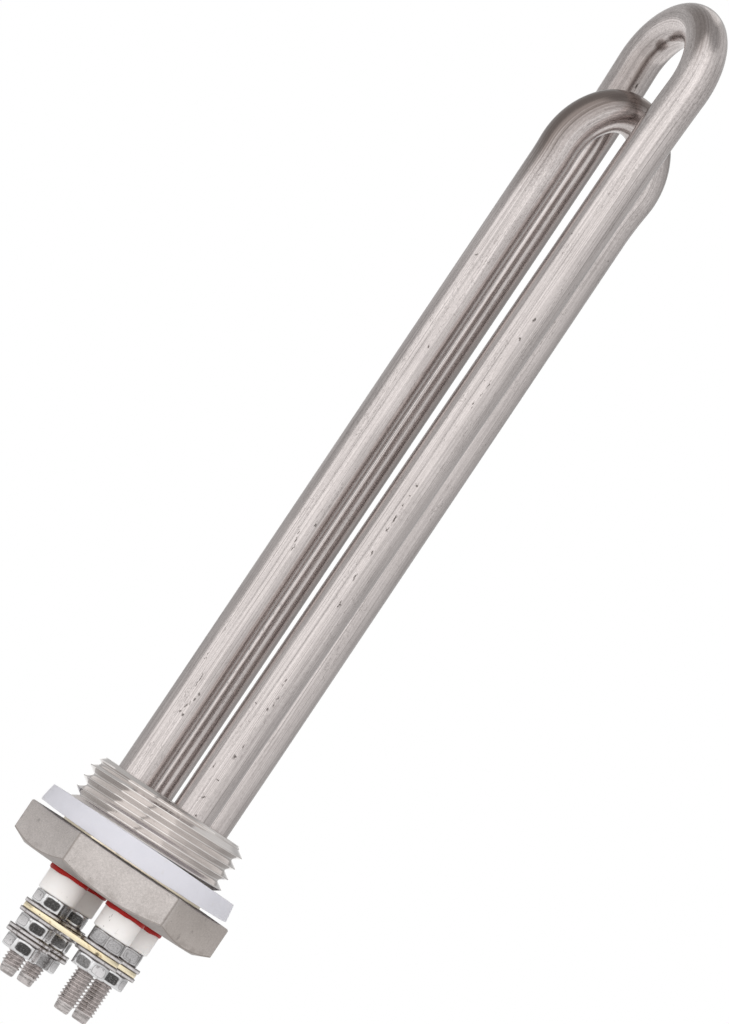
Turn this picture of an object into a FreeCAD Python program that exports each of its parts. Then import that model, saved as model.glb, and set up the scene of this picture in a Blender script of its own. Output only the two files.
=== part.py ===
import FreeCAD, Part
import math
import os

# Screw plug immersion heater: two hairpin heating elements brazed into a hexagon screw plug.
# Millimetres. The plug's axis is Z. The hairpins point to +Z and the terminals to -Z.
# The origin is on the axis, in the hexagon face that the gasket seals against.
# -Y is the front: a flat of the hexagon faces it.

# Screw plug
hexagon_across_flats = 38.0
hexagon_height = 7.6
hexagon_chamfer_angle = 25.0
hexagon_chamfer_inset = 0.3
hexagon_edge_break = 0.25
thread_major_diameter = 33.249
thread_end_height = 13.85
thread_lead_in_depth = 1.8
thread_lead_in_length = 1.5
relief_diameter = 30.5
relief_length = 3.05

# Gasket
gasket_outer_diameter = 41.2
gasket_taper = 0.5
gasket_thickness = 3.7
gasket_bore_clearance = 0.13
gasket_edge_break = 0.15

# Heating elements
tube_diameter = 8.0
tube_wall = 0.7
leg_circle_diameter = 18.2
first_leg_angle = 28.0
long_element_top = 191.1
short_element_top = 170.5
long_bend_bulge = 1.9
short_bend_bulge = 0.4
long_bend_roundness = 1.0
short_bend_roundness = 0.85
long_bend_shift = 0.5
short_bend_shift = -0.2
long_flare_radius = 250.0
short_flare_radius = 60.0
crown_start_angle = 45.0
lean_bend_radius = 250.0
lean_setback = 1.0

# Inside the tubes
coil_wire_diameter = 0.4
coil_grip_length = 4.0
cold_pin_diameter = 2.8
cold_pin_end = 30.0

# Terminals
stud_diameter = 4.0
stud_tip = 29.6
stud_point_diameter = 2.8
stud_point_length = 1.8
stud_shoulder_setback = 0.4
seal_diameter = 8.2
seal_thickness = 0.75
bushing_diameter = 7.9
bushing_length = 4.4
bushing_edge_radius = 0.4
bushing_spigot_diameter = 5.6
bushing_spigot_depth = 4.0
bushing_bore_clearance = 0.1
seal_bore_clearance = 0.1

# Nuts, washers and jumper strips
nut_across_flats = 7.0
nut_height = 2.7
nut_chamfer_angle = 28.0
nut_bore_clearance = 0.05
nut_bore_chamfer = 0.3
washer_diameter = 9.2
washer_thickness = 0.8
washer_bore_clearance = 0.15
washer_edge_radius = 0.15
strip_width = 8.6
strip_thickness = 1.0
strip_hole_clearance = 0.2

# Clearances
seat_clearance = 0.02
gasket_seat_clearance = 0.6
braze_clearance = 0.04
fill_clearance = 0.03

# Turn of each nut about its stud, in degrees, as they were left after tightening
nut_turns = {
    "short_feed": {"bushing_nut": 2.0, "clamp_nut": 7.0, "wire_nut": 5.0},
    "long_feed": {"bushing_nut": 24.0, "clamp_nut": 20.0, "wire_nut": 9.0},
    "long_link": {"bushing_nut": 29.0, "clamp_nut": 33.0},
    "short_link": {"bushing_nut": 26.0, "clamp_nut": 11.0},
}

# Outward lean of each leg above its cold pin, in degrees, as the tubes were left after brazing
leg_leans = {"short_link": -0.2, "long_feed": 0.25, "short_feed": 0.2, "long_link": 0.6}

# Worked out from the sizes above
tube_radius = tube_diameter / 2
tube_bore_radius = tube_radius - tube_wall
leg_radius = leg_circle_diameter / 2
thread_radius = thread_major_diameter / 2
stud_radius = stud_diameter / 2
pin_radius = cold_pin_diameter / 2
fill_radius = tube_bore_radius - fill_clearance
coil_inner_radius = pin_radius + fill_clearance
coil_outer_radius = coil_inner_radius + coil_wire_diameter
coil_start = cold_pin_end - coil_grip_length
lean_start = cold_pin_end + lean_setback

# Levels along the axis on the terminal side, from the hexagon outwards
terminal_face = -hexagon_height
seal_face = terminal_face - seat_clearance
seal_end = seal_face - seal_thickness
bushing_face = seal_end - seat_clearance
bushing_end = bushing_face - bushing_length
spigot_top = terminal_face + bushing_spigot_depth
stud_shoulder = spigot_top - stud_shoulder_setback
fill_start = spigot_top + seat_clearance

# Legs by name: the feed terminals take the supply, the link terminals only carry a strip
leg_turns = {"short_link": 0, "long_feed": 1, "short_feed": 2, "long_link": 3}
legs_per_turn = len(leg_turns)
elements = {
    "long": {
        "legs": ("long_link", "long_feed"),
        "top": long_element_top,
        "bulge": long_bend_bulge,
        "shift": long_bend_shift,
        "roundness": long_bend_roundness,
        "flare": long_flare_radius,
    },
    "short": {
        "legs": ("short_link", "short_feed"),
        "top": short_element_top,
        "bulge": short_bend_bulge,
        "shift": short_bend_shift,
        "roundness": short_bend_roundness,
        "flare": short_flare_radius,
    },
}
strips = {
    "front": ("short_feed", "long_link"),
    "back": ("long_feed", "short_link"),
}

Z_AXIS = FreeCAD.Vector(0, 0, 1)


def leg_angle(leg):
    return math.radians(first_leg_angle + leg_turns[leg] * 360.0 / legs_per_turn)


def leg_place(leg, height=0.0):
    angle = leg_angle(leg)
    return FreeCAD.Vector(leg_radius * math.cos(angle), leg_radius * math.sin(angle), height)


def cylinder(radius, low, high, leg=None):
    """Return a round bar between two heights, on the plug's axis or on a leg's."""
    base = leg_place(leg, low) if leg else FreeCAD.Vector(0, 0, low)
    return Part.makeCylinder(radius, high - low, base, Z_AXIS)


def turned(profile):
    """Return the solid turned about Z from a closed outline of (radius, height) points."""
    points = [FreeCAD.Vector(radius, 0, height) for radius, height in profile]
    face = Part.Face(Part.makePolygon(points + points[:1]))
    return face.revolve(FreeCAD.Vector(0, 0, 0), Z_AXIS, 360)


def hexagon_prism(across_flats, low, high, turn):
    """Return a hexagon bar with a flat facing -Y when turn is 0."""
    corner_radius = across_flats / math.sqrt(3)
    corners = []
    for k in range(6):
        angle = math.radians(60 * k + turn)
        across = corner_radius * math.cos(angle)
        corners.append(FreeCAD.Vector(across, corner_radius * math.sin(angle), low))
    face = Part.Face(Part.makePolygon(corners + corners[:1]))
    return face.extrude(FreeCAD.Vector(0, 0, high - low))


def plug_body():
    """Hexagon, thread relief and threaded shank in one piece, with a bore for each leg."""
    hexagon_corner = hexagon_across_flats / math.sqrt(3)
    chamfer_start = hexagon_across_flats / 2 - hexagon_chamfer_inset
    chamfer_drop = (hexagon_corner - chamfer_start) * math.tan(math.radians(hexagon_chamfer_angle))
    edge_start = hexagon_corner - hexagon_edge_break
    blank = turned([
        (0, terminal_face),
        (chamfer_start, terminal_face),
        (hexagon_corner, terminal_face + chamfer_drop),
        (hexagon_corner, -hexagon_edge_break),
        (edge_start, 0),
        (0, 0),
    ])
    hexagon = hexagon_prism(hexagon_across_flats, terminal_face, 0, 0).common(blank)
    relief_radius = relief_diameter / 2
    relief_slope = thread_radius - relief_radius
    shank = turned([
        (0, -hexagon_height / 2),
        (relief_radius, -hexagon_height / 2),
        (relief_radius, relief_length),
        (thread_radius, relief_length + relief_slope),
        (thread_radius, thread_end_height - thread_lead_in_length),
        (thread_radius - thread_lead_in_depth, thread_end_height),
        (0, thread_end_height),
    ])
    body = hexagon.fuse(shank)
    bore = tube_radius + braze_clearance
    for leg in leg_turns:
        body = body.cut(cylinder(bore, terminal_face - 1, thread_end_height + 1, leg))
    return body.removeSplitter()


def plug_gasket():
    inner = thread_radius + gasket_bore_clearance
    outer = gasket_outer_diameter / 2
    low = gasket_seat_clearance
    high = low + gasket_thickness
    edge = gasket_edge_break
    narrow = outer - gasket_taper
    return turned([
        (inner, low),
        (outer - edge, low),
        (outer, low + edge),
        (narrow, high - edge),
        (narrow - edge, high),
        (inner, high),
    ])


def leg_spans(element, leg, side, start):
    """Return the spans of one leg, as (first, middle, last) points, from its foot to the crown.

    Above its cold pin the leg leans a little. A flare arc brings it out to the side arc of the bend.
    side is 1 or -1, the side of the bend's centre that the leg is on.
    """
    form = elements[element]
    direction = leg_place(form["legs"][0]).normalize()
    foot = leg_radius - side * form["shift"]
    lean = math.radians(leg_leans[leg])
    lean_bend = math.copysign(lean_bend_radius, lean)
    lean_centre = foot + lean_bend
    flare_radius = form["flare"]

    # The bend's side arc, which its crown arc is tangent to
    half_width = leg_radius + form["bulge"]
    crown_radius = half_width * form["roundness"]
    crown_height = form["top"] - tube_radius - crown_radius
    crown_angle = math.radians(crown_start_angle)
    side_radius = (half_width - crown_radius * math.cos(crown_angle)) / (1 - math.cos(crown_angle))
    side_centre = half_width - side_radius
    side_height = crown_height - (side_radius - crown_radius) * math.sin(crown_angle)

    # The flare arc, which meets the side arc after what the leg has left to go across and up
    centre_distance = flare_radius + side_radius
    across_left = side_centre - lean_centre + (lean_bend - flare_radius) * math.cos(lean)
    height_left = side_height - lean_start - (lean_bend - flare_radius) * math.sin(lean)
    reach = height_left * math.sin(lean) - across_left * math.cos(lean)
    flare_angle = lean + math.acos(reach / centre_distance)
    flare_centre = side_centre + centre_distance * math.cos(flare_angle)
    flare_height = side_height - centre_distance * math.sin(flare_angle)

    def point(across, height):
        return direction * (form["shift"] + side * across) + Z_AXIS * height

    def lean_point(angle):
        return point(lean_centre - lean_bend * math.cos(angle), lean_start + lean_bend * math.sin(angle))

    def flare_point(angle):
        height = flare_height + flare_radius * math.sin(angle)
        return point(flare_centre - flare_radius * math.cos(angle), height)

    def side_point(angle):
        height = side_height + side_radius * math.sin(angle)
        return point(side_centre + side_radius * math.cos(angle), height)

    return [
        (point(foot, start), None, lean_point(0)),
        (lean_point(0), lean_point(lean / 2), lean_point(lean)),
        (lean_point(lean), None, flare_point(lean)),
        (flare_point(lean), flare_point((lean + flare_angle) / 2), flare_point(flare_angle)),
        (flare_point(flare_angle), side_point((crown_angle - flare_angle) / 2), side_point(crown_angle)),
    ]


def hairpin_path(element, start):
    """Return the centreline of a hairpin whose two legs start at the given height.

    The bend is a crown arc between two side arcs, and it is a little wider than the legs are apart.
    """
    form = elements[element]
    first_leg, second_leg = form["legs"]
    up = leg_spans(element, first_leg, 1, start)
    down = leg_spans(element, second_leg, -1, start)
    crown_top = leg_place(first_leg).normalize() * form["shift"] + Z_AXIS * (form["top"] - tube_radius)
    spans = up + [(up[-1][2], crown_top, down[-1][2])]
    spans += [(last, middle, first) for first, middle, last in reversed(down)]
    edges = []
    for first, middle, last in spans:
        if middle is None:
            edges.append(Part.makeLine(first, last))
        else:
            edges.append(Part.Arc(first, middle, last).toShape())
    return Part.Wire(edges)


def bent_bar(element, radius, start):
    """Return a round bar of the given radius along a hairpin."""
    path = hairpin_path(element, start)
    base = leg_place(elements[element]["legs"][0], start)
    section = Part.Wire([Part.makeCircle(radius, base, Z_AXIS)])
    return path.makePipeShell([section], True, False)


def sheath(element):
    bore = bent_bar(element, tube_bore_radius, terminal_face)
    return bent_bar(element, tube_radius, terminal_face).cut(bore)


def coil(element):
    """The winding, as the tubular space that its close turns take up."""
    core = bent_bar(element, coil_inner_radius, coil_start)
    return bent_bar(element, coil_outer_radius, coil_start).cut(core)


def magnesia(element):
    """Packed powder: a sleeve round the coil and pins, and a core inside the coil."""
    coil_space = bent_bar(element, coil_outer_radius + fill_clearance, coil_start - fill_clearance)
    sleeve = bent_bar(element, fill_radius, fill_start).cut(coil_space)
    for leg in elements[element]["legs"]:
        sleeve = sleeve.cut(cylinder(pin_radius + fill_clearance, fill_start - 1, coil_start, leg))
    core = bent_bar(element, coil_inner_radius - fill_clearance, cold_pin_end + fill_clearance)
    return Part.makeCompound(sleeve.Solids + core.Solids)


def placed(shape, leg):
    shape.translate(leg_place(leg))
    return shape


def terminal_stud(leg):
    """Threaded stud with its cold pin, one piece that runs up into the coil."""
    point_radius = stud_point_diameter / 2
    stud = turned([
        (0, -stud_tip),
        (point_radius, -stud_tip),
        (stud_radius, -stud_tip + stud_point_length),
        (stud_radius, stud_shoulder),
        (pin_radius, stud_shoulder),
        (pin_radius, cold_pin_end),
        (0, cold_pin_end),
    ])
    return placed(stud, leg)


def terminal_seal(leg):
    inner = bushing_spigot_diameter / 2 + seal_bore_clearance
    outer = seal_diameter / 2
    squeeze = seal_thickness / 4
    seal = turned([
        (inner, seal_end),
        (outer - squeeze, seal_end),
        (outer, seal_end + squeeze),
        (outer, seal_face - squeeze),
        (outer - squeeze, seal_face),
        (inner, seal_face),
    ])
    return placed(seal, leg)


def terminal_bushing(leg):
    """Ceramic bushing: a collar under the hexagon, with a spigot that centres it in the tube."""
    bore = stud_radius + bushing_bore_clearance
    collar = cylinder(bushing_diameter / 2, bushing_end, bushing_face)
    rim = [edge for edge in collar.Edges
           if isinstance(edge.Curve, Part.Circle)
           and abs(edge.Curve.Center.z - bushing_end) < seat_clearance]
    collar = collar.makeFillet(bushing_edge_radius, rim)
    spigot = cylinder(bushing_spigot_diameter / 2, bushing_face - bushing_length / 2, spigot_top)
    bushing = collar.fuse(spigot).cut(cylinder(bore, bushing_end - 1, spigot_top + 1))
    return placed(bushing.removeSplitter(), leg)


def nut(leg, face, turn):
    """Hexagon nut chamfered on both sides, hung from the given face."""
    low = face - nut_height
    corner = nut_across_flats / math.sqrt(3)
    chamfer_start = nut_across_flats / 2
    drop = (corner - chamfer_start) * math.tan(math.radians(nut_chamfer_angle))
    bore = stud_radius + nut_bore_clearance
    mouth = bore + nut_bore_chamfer
    blank = turned([
        (bore, low + nut_bore_chamfer),
        (mouth, low),
        (chamfer_start, low),
        (corner, low + drop),
        (corner, face - drop),
        (chamfer_start, face),
        (mouth, face),
        (bore, face - nut_bore_chamfer),
    ])
    return placed(hexagon_prism(nut_across_flats, low, face, turn).common(blank), leg)


def washer(leg, face):
    low = face - washer_thickness
    inner = stud_radius + washer_bore_clearance
    outer = washer_diameter / 2
    edge = washer_edge_radius
    disc = turned([
        (inner, low),
        (outer - edge, low),
        (outer, low + edge),
        (outer, face - edge),
        (outer - edge, face),
        (inner, face),
    ])
    return placed(disc, leg)


def jumper_strip(pair, face):
    """Flat strip with round ends that joins two neighbouring studs."""
    low = face - strip_thickness
    first, second = (leg_place(leg, low) for leg in pair)
    along = second - first
    across = along.cross(Z_AXIS).normalize() * (strip_width / 2)
    side = [first + across, second + across, second - across, first - across]
    outward = (along / along.Length) * (strip_width / 2)
    outline = Part.Wire([
        Part.makeLine(side[0], side[1]),
        Part.Arc(side[1], second + outward, side[2]).toShape(),
        Part.makeLine(side[2], side[3]),
        Part.Arc(side[3], first - outward, side[0]).toShape(),
    ])
    strip = Part.Face(outline).extrude(Z_AXIS * strip_thickness)
    for leg in pair:
        strip = strip.cut(cylinder(stud_radius + strip_hole_clearance, low - 1, face + 1, leg))
    return strip


def terminal_stack(nodes):
    """Stack the nuts, washers and strips on the studs, from the bushing outwards."""
    step = seat_clearance
    nut_face = bushing_end - step
    upper_face = nut_face - nut_height - step
    strip_face = upper_face - washer_thickness - step
    lower_face = strip_face - strip_thickness - step
    clamp_face = lower_face - washer_thickness - step
    for leg in leg_turns:
        turns = nut_turns[leg]
        nodes["bushing_nut_" + leg] = nut(leg, nut_face, turns["bushing_nut"])
        nodes["upper_washer_" + leg] = washer(leg, upper_face)
        nodes["lower_washer_" + leg] = washer(leg, lower_face)
        nodes["clamp_nut_" + leg] = nut(leg, clamp_face, turns["clamp_nut"])
    for name, pair in strips.items():
        nodes["jumper_strip_" + name] = jumper_strip(pair, strip_face)
    inner_face = clamp_face - nut_height - step
    outer_face = inner_face - washer_thickness - step
    wire_nut_face = outer_face - washer_thickness - step
    for leg in ("short_feed", "long_feed"):
        nodes["inner_wire_washer_" + leg] = washer(leg, inner_face)
        nodes["outer_wire_washer_" + leg] = washer(leg, outer_face)
        nodes["wire_nut_" + leg] = nut(leg, wire_nut_face, nut_turns[leg]["wire_nut"])


def heater():
    """Return every piece of the heater by name."""
    nodes = {"plug_body": plug_body(), "plug_gasket": plug_gasket()}
    for element in elements:
        nodes[element + "_sheath"] = sheath(element)
        nodes[element + "_magnesia"] = magnesia(element)
        nodes[element + "_coil"] = coil(element)
    for leg in leg_turns:
        nodes["terminal_stud_" + leg] = terminal_stud(leg)
        nodes["terminal_seal_" + leg] = terminal_seal(leg)
        nodes["terminal_bushing_" + leg] = terminal_bushing(leg)
    terminal_stack(nodes)
    return nodes


os.makedirs("parts", exist_ok=True)
for name, shape in heater().items():
    shape.exportStep("parts/" + name + ".step")
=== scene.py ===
import math

import bmesh
import bpy
import numpy as np
from mathutils import Matrix, Vector


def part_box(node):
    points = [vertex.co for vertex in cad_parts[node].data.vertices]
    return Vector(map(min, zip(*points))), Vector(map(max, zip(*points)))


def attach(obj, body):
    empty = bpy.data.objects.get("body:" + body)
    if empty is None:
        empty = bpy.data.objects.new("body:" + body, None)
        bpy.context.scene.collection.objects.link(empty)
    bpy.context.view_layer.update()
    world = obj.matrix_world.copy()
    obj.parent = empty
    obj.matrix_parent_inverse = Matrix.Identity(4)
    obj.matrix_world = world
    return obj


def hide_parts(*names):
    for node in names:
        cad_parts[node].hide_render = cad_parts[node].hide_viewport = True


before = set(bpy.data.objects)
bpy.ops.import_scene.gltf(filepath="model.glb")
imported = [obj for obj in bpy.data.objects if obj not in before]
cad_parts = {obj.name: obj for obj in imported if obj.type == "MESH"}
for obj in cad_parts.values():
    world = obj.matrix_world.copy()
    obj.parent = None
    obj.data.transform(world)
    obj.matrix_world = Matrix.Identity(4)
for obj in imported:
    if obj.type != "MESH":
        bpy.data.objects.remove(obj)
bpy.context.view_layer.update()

# Metres. +Z runs along the plug's axis to the tips of the hairpins, -Y faces the camera.
mm = 0.001
up = Vector((0, 0, 1))

# Legs of the two hairpins, named by element and by what their terminal does
legs = ("short_link", "long_feed", "short_feed", "long_link")
element_legs = {"long": ("long_link", "long_feed"), "short": ("short_link", "short_feed")}


def span(node, axis):
    """Lowest and highest place of a CAD node along one axis."""
    low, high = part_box(node)
    return low[axis], high[axis]


def leg_place(leg):
    low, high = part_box("terminal_stud_" + leg)
    return Vector(((low[0] + high[0]) / 2, (low[1] + high[1]) / 2, 0))


# Sizes read from the frame
terminal_face, thread_end = span("plug_body", 2)
hexagon_across_flats = 2 * span("plug_body", 1)[1]
gasket_low, gasket_high = span("plug_gasket", 2)
gasket_radius = span("plug_gasket", 0)[1]
stud_tip, pin_end = span("terminal_stud_long_feed", 2)
leg_radius = leg_place("long_feed").length
strip_low = span("jumper_strip_front", 2)[0]

# Sizes repeated from the model of the solids
tube_radius = 4 * mm
tube_bore_radius = 3.3 * mm
braze_clearance = 0.04 * mm
thread_radius = 16.6245 * mm
thread_pitch = 25.4 / 11 * mm
thread_depth = 1.479 * mm
thread_lead_in_depth = 1.8 * mm
thread_lead_in_length = 1.5 * mm
relief_radius = 15.25 * mm
relief_length = 3.05 * mm
gasket_bore_radius = 16.755 * mm
hexagon_chamfer_angle = math.radians(25)
hexagon_chamfer_inset = 0.3 * mm
hexagon_chamfer_start = hexagon_across_flats / 2 - hexagon_chamfer_inset
stud_radius = 2 * mm
stud_pitch = 0.7 * mm
stud_thread_depth = 0.43 * mm
stud_point_radius = 1.4 * mm
pin_radius = 1.4 * mm
stud_shoulder = terminal_face + 3.6 * mm
bushing_radius = 3.95 * mm
bushing_bore_radius = 2.1 * mm
spigot_radius = 2.8 * mm
spigot_top = terminal_face + 4 * mm
seal_radius = 4.1 * mm
seal_bore_radius = 2.9 * mm
nut_across_flats = 7 * mm
nut_chamfer_angle = math.radians(28)
nut_bore_radius = 2.05 * mm
nut_mouth_radius = 2.35 * mm
washer_radius = 4.6 * mm
washer_bore_radius = 2.15 * mm
strip_half_width = 4.3 * mm
strip_hole_radius = 2.2 * mm
crown_start = math.radians(45)

# Each bend's top, bulge past the legs, shift off their middle, flare radius and crown's share of the width
bends = {
    "long": (191.1 * mm, 1.9 * mm, 0.5 * mm, 250 * mm, 1),
    "short": (170.5 * mm, 0.4 * mm, -0.2 * mm, 60 * mm, 0.85),
}

# Degrees that each leg leans outward
leg_leans = {"short_link": -0.2, "long_feed": 0.25, "short_feed": 0.2, "long_link": 0.6}
lean_bend_radius = 250 * mm
lean_start = pin_end + 1 * mm

# How wide a stud's plain end is at some heights over its tip, in millimetres
stud_end_heights = (0, 0.35, 1.6, 2)
stud_end_radii = (1.4, 1.52, 1.64, 2)

# The nuts on each stud, from the bushing out: degrees turned, and how light each of the six flats is
# painted, a painted reflection standing for what each flat mirrors. The last three flats face the front.
nut_kinds = ("bushing_nut_", "clamp_nut_", "wire_nut_")
nuts = {
    "short_feed": (
        (2, 0.6, 0.3, 0.8, 1, 0, 0.42), (7, 0.8, 0.1, 0.7, 1.1, 0, 0.95), (5, 0.5, 0, 0.8, 1.1, 0, 0.95),
    ),
    "long_feed": (
        (24, 0.2, 0.7, 0.5, 0.1, 0.06, 0.3), (20, 0.7, 0.2, 0.8, 0.1, 0.16, 0.1),
        (9, 0.1, 0.8, 0.6, 0.2, 0.3, 0.8),
    ),
    "long_link": ((29, 0.7, 0.1, 0.5, 0.45, 0.56, 0.3), (33, 0.2, 0.8, 0.1, 0.2, 1, 0.1)),
    "short_link": ((26, 0.1, 0.6, 0.8, 0.3, 0.56, 0.5), (11, 0.7, 0.5, 0.1, 0.4, 0.02, 0.8)),
}
washer_kinds = ("upper_washer_", "lower_washer_", "inner_wire_washer_", "outer_wire_washer_")


# Mesh tools

def finish_mesh(obj, smooth_angle=35):
    """Merge doubled points, drop empty faces, point the normals out and smooth the shading."""
    shape = bmesh.new()
    shape.from_mesh(obj.data)
    bmesh.ops.remove_doubles(shape, verts=shape.verts, dist=1e-7)
    bmesh.ops.dissolve_degenerate(shape, dist=1e-7, edges=shape.edges)
    bmesh.ops.recalc_face_normals(shape, faces=shape.faces)
    shape.to_mesh(obj.data)
    shape.free()
    obj.data.shade_smooth()
    obj.data.set_sharp_from_angle(angle=math.radians(smooth_angle))
    return obj


def add_object(name, data):
    obj = bpy.data.objects.new(name, data)
    bpy.context.scene.collection.objects.link(obj)
    return obj


def mesh_object(name, points, faces):
    mesh = bpy.data.meshes.new(name)
    mesh.from_pydata([tuple(p) for p in points], [], faces)
    return add_object(name, mesh)


def band(lower, upper, count):
    """Faces between two rings of count points, each given by its first point's number."""
    return [(lower + k, lower + (k + 1) % count, upper + (k + 1) % count, upper + k) for k in range(count)]


def caps(lower, upper, count):
    return [tuple(reversed(range(lower, lower + count))), tuple(range(upper, upper + count))]


def loft(name, points, count, closed=False):
    """Link rings of count points. closed joins the last ring to the first, else both ends get caps."""
    starts = list(range(0, len(points), count))
    faces = []
    for lower, upper in zip(starts, starts[1:] + starts[:1] if closed else starts[1:]):
        faces += band(lower, upper, count)
    return mesh_object(name, points, faces if closed else faces + caps(0, starts[-1], count))


def ring_points(angles, rings):
    """Points of rings of (radius, height) about Z, given as numbers or as arrays over the angles."""
    points = []
    for ring in rings:
        radius, height = (np.broadcast_to(value, len(angles)) for value in ring)
        points.extend(zip(radius * np.cos(angles), radius * np.sin(angles), height))
    return points


def lathe(name, angles, rings, closed=True):
    return loft(name, ring_points(angles, rings), len(angles), closed)


def even_angles(count):
    return np.arange(count) * 2 * math.pi / count


def hexagon_angles(per_flat, turn=0):
    """Angles round a hexagon, closer together at its corners."""
    steps = np.arange(per_flat) / per_flat
    eased = steps - 0.85 * np.sin(2 * math.pi * steps) / (2 * math.pi)
    return turn + np.concatenate([(k + eased) * math.pi / 3 for k in range(6)])


def hexagon_radius(angles, across_flats, turn, corner_trim):
    """Radius of a hexagon with slightly rounded corners. A corner lies at the turn angle."""
    local = np.mod(angles - turn, math.pi / 3) - math.pi / 6
    sharp = across_flats / 2 / np.cos(local)
    cap = across_flats / math.sqrt(3) - corner_trim
    softness = corner_trim / 2
    return -softness * np.logaddexp(-sharp / softness, -cap / softness)


def mirrored(half, low, high):
    """Rings of (size, rise) up from the lower face, then the same ones at the upper face."""
    return [(size, low + rise) for size, rise in half] + [(size, high - rise) for size, rise in half[::-1]]


def rolled_edge(outer, low, size, rise, steps):
    """Rings round an edge, from the face at low to the side."""
    bend = [math.pi / 2 * k / steps for k in range(steps + 1)]
    return [(outer - size + size * math.sin(b), low + rise * (1 - math.cos(b))) for b in bend]


def keep_places(obj, name, places):
    """Store a place for each point, which a material can read."""
    attribute = obj.data.attributes.new(name, "FLOAT_VECTOR", "POINT")
    attribute.data.foreach_set("vector", np.array(places, dtype=np.float32).ravel())


def move_to_leg(obj, leg, middle=0):
    """Move a piece turned about Z to its leg.

    Its local attribute keeps each point's place before that, with its height counted from the middle.
    """
    keep_places(obj, "local", [(p.co.x, p.co.y, p.co.z - middle) for p in obj.data.vertices])
    obj.data.transform(Matrix.Translation(leg_place(leg)))
    return obj


def bore_out(obj, radius, low, high, places, steps=72):
    """Cut a round hole through obj at each place."""
    for place in places:
        tool = lathe("bore_tool", even_angles(steps), [(radius, low), (radius, high)], closed=False)
        tool.data.transform(Matrix.Translation(place))
        cut = obj.modifiers.new("bore", "BOOLEAN")
        cut.operation = "DIFFERENCE"
        cut.solver = "EXACT"
        cut.object = tool
        bpy.context.view_layer.update()
        whole = obj.data
        evaluated = obj.evaluated_get(bpy.context.evaluated_depsgraph_get())
        obj.data = bpy.data.meshes.new_from_object(evaluated)
        obj.modifiers.clear()
        bpy.data.meshes.remove(whole)
        bpy.data.objects.remove(tool)


def uneven(angles, seed, waves, size):
    """A smooth uneven wave round a ring, the sum of a few whole-number waves."""
    draw = np.random.default_rng(seed)
    total = np.zeros(len(angles))
    for count in waves:
        total += draw.uniform(0.4, 1) * np.sin(count * angles + draw.uniform(0, 2 * math.pi))
    return total * size / len(waves)


# Thread

thread_phases = (0, 0.035, 0.06, 0.16, 0.28, 0.4, 0.46, 0.5, 0.54, 0.6, 0.72, 0.84, 0.94, 0.965)
root_flat = 0.1
crest_flat = 0.07


def thread_height(phase):
    """Height of a V thread, from 0 at the root to 1 at the crest, with narrow flats."""
    away = np.abs(2 * np.mod(phase, 1) - 1)
    return np.clip((1 - root_flat - away) / (1 - root_flat - crest_flat), 0, 1)


def threaded_bar(name, angles, low, high, pitch, crest, depth, limit, before, after, start):
    """A bar with a right-hand helical thread between two heights.

    before and after are plain rings under and over the thread. limit is the largest radius that the
    thread may have at a height, so it shapes the lead-in and the run-out.
    """
    count = len(angles)
    turns = (angles - angles[0]) / (2 * math.pi)
    first = math.floor((low - start) / pitch) - 2
    last = math.ceil((high - start) / pitch) + 1
    rings = []
    for turn in range(first, last):
        for phase in thread_phases:
            height = np.clip(start + (turn + phase + turns) * pitch, low, high)
            radius = crest - depth + depth * thread_height((height - start) / pitch - turns)
            rings.append((np.minimum(radius, limit(height)), height))
    points = ring_points(angles, rings + before + after)
    starts = list(range(0, len(points), count))
    thread = starts[:len(rings)]
    below = starts[len(rings):len(rings) + len(before)]
    above = starts[len(rings) + len(before):]

    # A ring ends one turn up the thread from where it starts, so it joins the ring a turn on
    step = len(thread_phases)
    faces = []
    for j, (here, over) in enumerate(zip(thread, thread[1:])):
        turn_on = thread[j + step:j + step + 2] or thread[-1:]
        faces += band(here, over, count)[:-1]
        faces.append((here + count - 1, *turn_on, over + count - 1))
    for lower, upper in (*zip(below, below[1:] + thread[:1]), *zip(thread[-1:] + above, above)):
        faces += band(lower, upper, count)
    faces += caps(below[0], (thread + above)[-1], count)
    return mesh_object(name, points, faces)


# Screw plug

def plug():
    angles = hexagon_angles(50)
    flats = hexagon_radius(angles, hexagon_across_flats, 0, 0.14 * mm)
    slope = math.tan(hexagon_chamfer_angle)
    chamfer = terminal_face + (flats - hexagon_chamfer_start) * slope
    soft = 0.1 * mm
    edge = 0.25 * mm
    run_out_slope = 0.9
    lead_in_start = thread_end - thread_lead_in_length

    def limit(height):
        lead_in = thread_radius - (height - lead_in_start) / thread_lead_in_length * thread_lead_in_depth
        run_out = relief_radius + (height - relief_length) * run_out_slope
        return np.minimum(np.minimum(lead_in, run_out), thread_radius)

    before = [
        (hexagon_chamfer_start - 5 * soft, terminal_face), (hexagon_chamfer_start - soft, terminal_face),
        (hexagon_chamfer_start + soft, terminal_face + soft * slope), (flats - soft, chamfer - soft * slope),
        (flats - 0.2 * soft, chamfer + 0.2 * soft), (flats, chamfer + soft),
        (flats, -edge - soft), (flats - 0.2 * soft, -edge), (flats - edge, -0.3 * soft),
        (flats - edge - soft, 0), (relief_radius + soft, 0), (relief_radius, soft),
    ]
    body = threaded_bar("screw_plug", angles, relief_length, thread_end, thread_pitch, thread_radius,
                        thread_depth, limit, before, [], 0.85 * thread_pitch)
    finish_mesh(body)
    bore_out(body, tube_radius + braze_clearance, terminal_face - mm, thread_end + mm, map(leg_place, legs))
    return finish_mesh(body, 30)


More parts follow.
